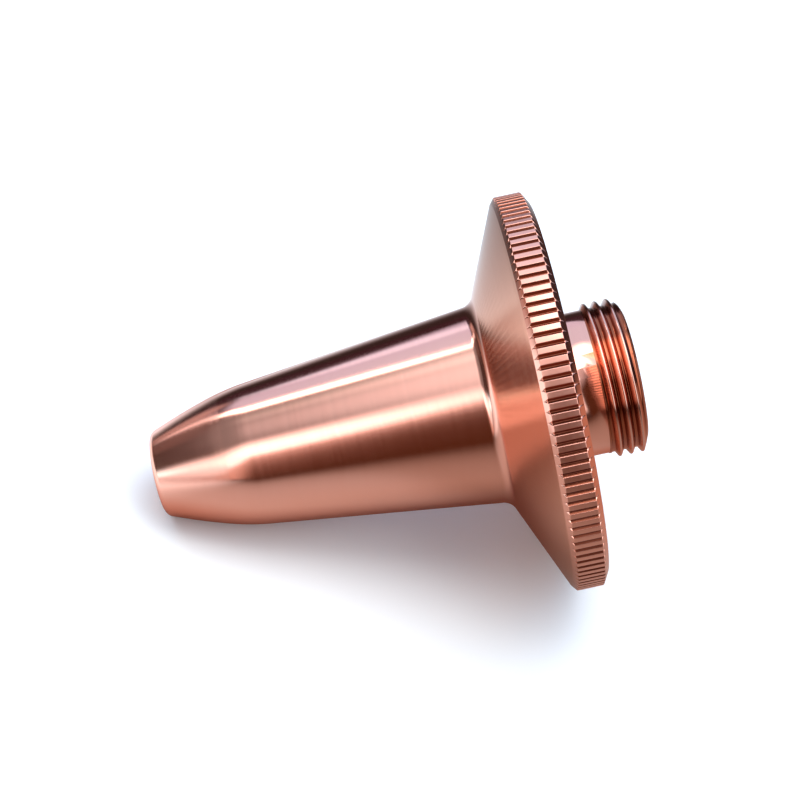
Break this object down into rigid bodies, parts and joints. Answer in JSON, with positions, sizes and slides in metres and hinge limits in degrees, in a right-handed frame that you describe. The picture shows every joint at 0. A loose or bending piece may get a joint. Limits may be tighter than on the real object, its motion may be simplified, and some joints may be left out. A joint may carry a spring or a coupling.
{
  "type": "laser cutting nozzle",
  "caption": "Copper laser cutting nozzle: tapered barrel with a conical nose, disc flange with a knurled rim, short threaded end and a converging passage for beam and gas.",
  "frame": {"origin": "centre of the flange's flat back face, which seats on the cutting head", "axes": "+Z along the beam's axis, from the flange to the tip; +X through the middle of a rim groove"},
  "size_m": [0.028, 0.028, 0.034],
  "materials": {
    "copper": "polished"
  },
  "bodies": {
    "root": {"nozzle": "copper"}
  },
  "joints": []
}
